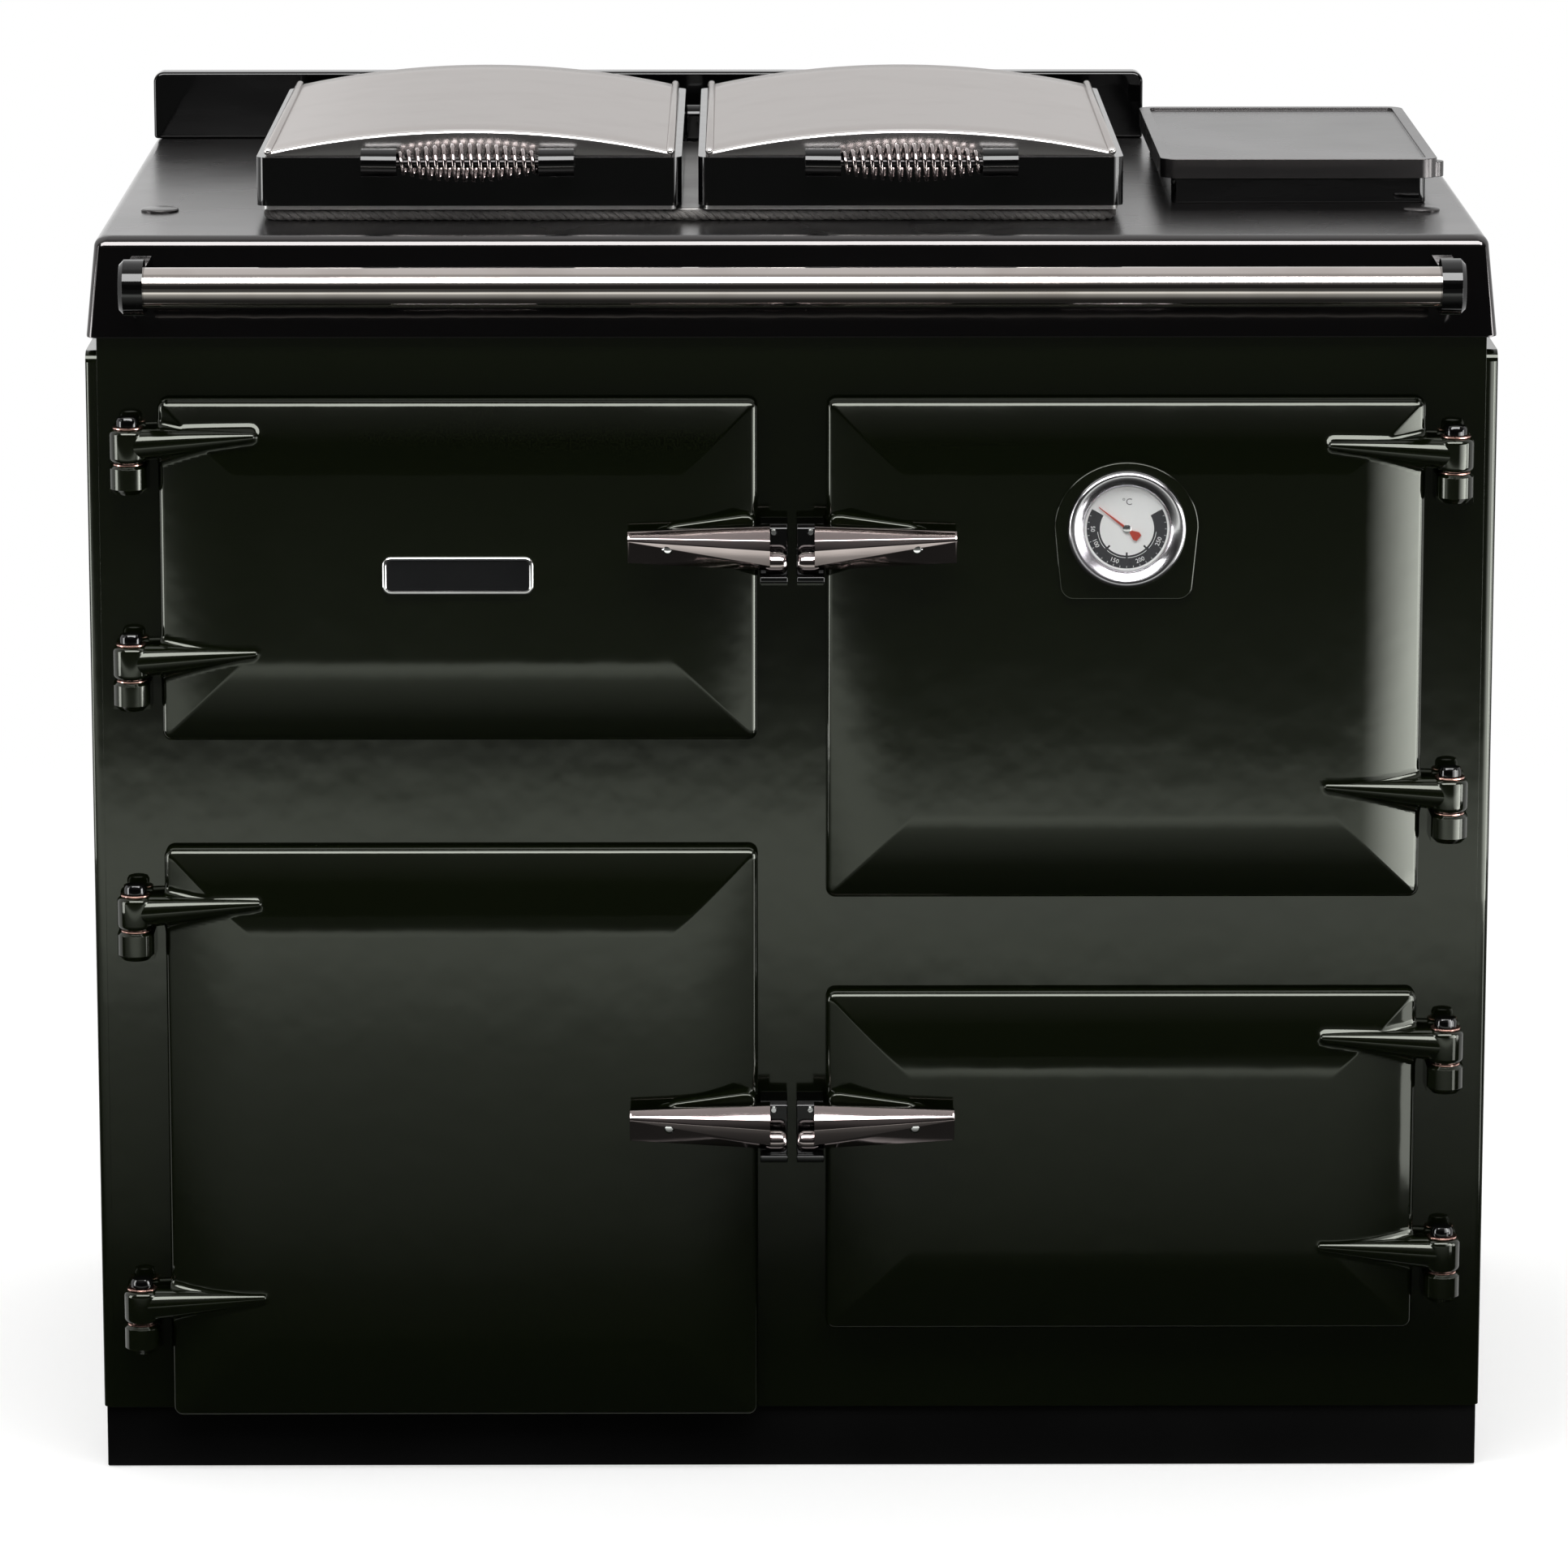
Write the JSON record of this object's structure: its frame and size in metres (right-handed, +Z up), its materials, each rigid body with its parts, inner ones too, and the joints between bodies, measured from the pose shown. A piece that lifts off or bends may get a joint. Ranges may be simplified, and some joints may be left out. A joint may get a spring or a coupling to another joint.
{
  "type": "cast iron range cooker",
  "caption": "Cast iron range cooker with enamelled oven doors on pin hinges, domed hotplate lids with coiled handles, a towel rail and an oven thermometer.",
  "frame": {"origin": "centre of the whole cooker on the floor, from the towel rail to the flue spigot", "axes": "+X to the right along the front, +Y from the front to the back, +Z up"},
  "size_m": [0.99, 0.7294, 0.958],
  "materials": {
    "green_enamel": "gloss dark green-black vitreous enamel",
    "black_enamel": "gloss black vitreous enamel",
    "chrome": "polished chrome plate",
    "polished_steel": "polished stainless steel",
    "plated_steel": "zinc plated",
    "burner_housing": "die cast",
    "raw_iron": "ground and bare",
    "liner": "satin aluminised pan",
    "rope": "braided glass rope",
    "dial": "matt white with black scale",
    "pointer": "red paint",
    "glass": "clear flat glass",
    "knob": "black phenolic"
  },
  "bodies": {
    "cooker": {"plinth": "black_enamel", "front_plate": "green_enamel", "left_side_panel": "green_enamel", "right_side_panel": "green_enamel", "back_panel": "plated_steel", "back_panel_screws": "plated_steel", "top_plate": "black_enamel", "splashback": "black_enamel", "top_plate_plugs": "black_enamel", "flue_chamber": "black_enamel", "flue_cover": "black_enamel", "flue_spigot": "raw_iron", "towel_rail": "chrome", "rail_brackets": "black_enamel", "hotplate": "raw_iron", "hotplate_rope_seal": "rope", "main_oven_box": "black_enamel", "lower_oven_box": "black_enamel", "boiler_body": "raw_iron", "burner": "burner_housing", "control_panel": "plated_steel", "hinge_lugs": "green_enamel", "hinge_pins": "black_enamel", "door_catches": "black_enamel", "lid_hinge": "black_enamel"},
    "upper_left_door": {"upper_left_door": "green_enamel", "upper_left_liner": "liner", "upper_left_rope_seal": "rope", "door_badge": "chrome"},
    "upper_left_handle": {"upper_left_handle": "chrome"},
    "lower_left_door": {"lower_left_door": "green_enamel", "lower_left_liner": "liner", "lower_left_rope_seal": "rope"},
    "lower_left_handle": {"lower_left_handle": "chrome"},
    "upper_right_door": {"upper_right_door": "green_enamel", "upper_right_liner": "liner", "upper_right_rope_seal": "rope", "thermometer_case": "chrome", "thermometer_dial": "dial", "thermometer_glass": "glass"},
    "upper_right_handle": {"upper_right_handle": "chrome"},
    "lower_right_door": {"lower_right_door": "green_enamel", "lower_right_liner": "liner", "lower_right_rope_seal": "rope"},
    "lower_right_handle": {"lower_right_handle": "chrome"},
    "thermometer_pointer": {"thermometer_pointer": "pointer"},
    "left_lid": {"left_lid_frame": "black_enamel", "left_lid_dome": "polished_steel", "left_lid_liner": "liner", "left_lid_handle_coil": "chrome", "left_lid_handle_rod": "plated_steel"},
    "right_lid": {"right_lid_frame": "black_enamel", "right_lid_dome": "polished_steel", "right_lid_liner": "liner", "right_lid_handle_coil": "chrome", "right_lid_handle_rod": "plated_steel"},
    "oven_knob": {"oven_knob": "knob"},
    "boiler_knob": {"boiler_knob": "knob"},
    "main_oven_shelf": {"main_oven_shelf": "chrome"},
    "lower_oven_shelf": {"lower_oven_shelf": "chrome"}
  },
  "joints": [
    {"name": "upper_left_door_hinge", "type": "hinge", "parent": "cooker", "child": "upper_left_door", "pos_m": [-0.465, -0.29975, 0.6716], "axis": [0, 0, -1], "range_deg": [0, 120]},
    {"name": "lower_left_door_hinge", "type": "hinge", "parent": "cooker", "child": "lower_left_door", "pos_m": [-0.465, -0.29975, 0.2695], "axis": [0, 0, -1], "range_deg": [0, 120]},
    {"name": "upper_right_door_hinge", "type": "hinge", "parent": "cooker", "child": "upper_right_door", "pos_m": [0.465, -0.29975, 0.62], "axis": [0, 0, 1], "range_deg": [0, 120]},
    {"name": "lower_right_door_hinge", "type": "hinge", "parent": "cooker", "child": "lower_right_door", "pos_m": [0.465, -0.29975, 0.2389], "axis": [0, 0, 1], "range_deg": [0, 120]},
    {"name": "left_lid_hinge", "type": "hinge", "parent": "cooker", "child": "left_lid", "pos_m": [-0.2283, 0.20675, 0.918], "axis": [-1, 0, 0], "range_deg": [0, 94]},
    {"name": "right_lid_hinge", "type": "hinge", "parent": "cooker", "child": "right_lid", "pos_m": [0.0849, 0.20675, 0.918], "axis": [-1, 0, 0], "range_deg": [0, 94]},
    {"name": "upper_left_handle_pivot", "type": "hinge", "parent": "upper_left_door", "child": "upper_left_handle", "pos_m": [-0.087, -0.33075, 0.681], "axis": [0, -1, 0], "range_deg": [0, 15]},
    {"name": "lower_left_handle_pivot", "type": "hinge", "parent": "lower_left_door", "child": "lower_left_handle", "pos_m": [-0.087, -0.33075, 0.2645], "axis": [0, -1, 0], "range_deg": [0, 15]},
    {"name": "upper_right_handle_pivot", "type": "hinge", "parent": "upper_right_door", "child": "upper_right_handle", "pos_m": [0.087, -0.33075, 0.681], "axis": [0, 1, 0], "range_deg": [0, 15]},
    {"name": "lower_right_handle_pivot", "type": "hinge", "parent": "lower_right_door", "child": "lower_right_handle", "pos_m": [0.087, -0.33075, 0.2645], "axis": [0, 1, 0], "range_deg": [0, 15]},
    {"name": "thermometer_pointer_turn", "type": "hinge", "parent": "upper_right_door", "child": "thermometer_pointer", "pos_m": [0.23425, -0.31775, 0.692], "axis": [0, -1, 0], "range_deg": [0, 248], "stiffness_Nm_per_rad": 0.01},
    {"name": "oven_knob_turn", "type": "hinge", "parent": "cooker", "child": "oven_knob", "pos_m": [-0.165, -0.24025, 0.6589], "axis": [0, 1, 0], "range_deg": [0, 270]},
    {"name": "boiler_knob_turn", "type": "hinge", "parent": "cooker", "child": "boiler_knob", "pos_m": [-0.303, -0.24025, 0.6589], "axis": [0, 1, 0], "range_deg": [0, 270]},
    {"name": "main_oven_shelf_slide", "type": "slide", "parent": "cooker", "child": "main_oven_shelf", "axis": [0, -1, 0], "range_m": [0, 0.04]},
    {"name": "lower_oven_shelf_slide", "type": "slide", "parent": "cooker", "child": "lower_oven_shelf", "axis": [0, -1, 0], "range_m": [0, 0.04]}
  ]
}
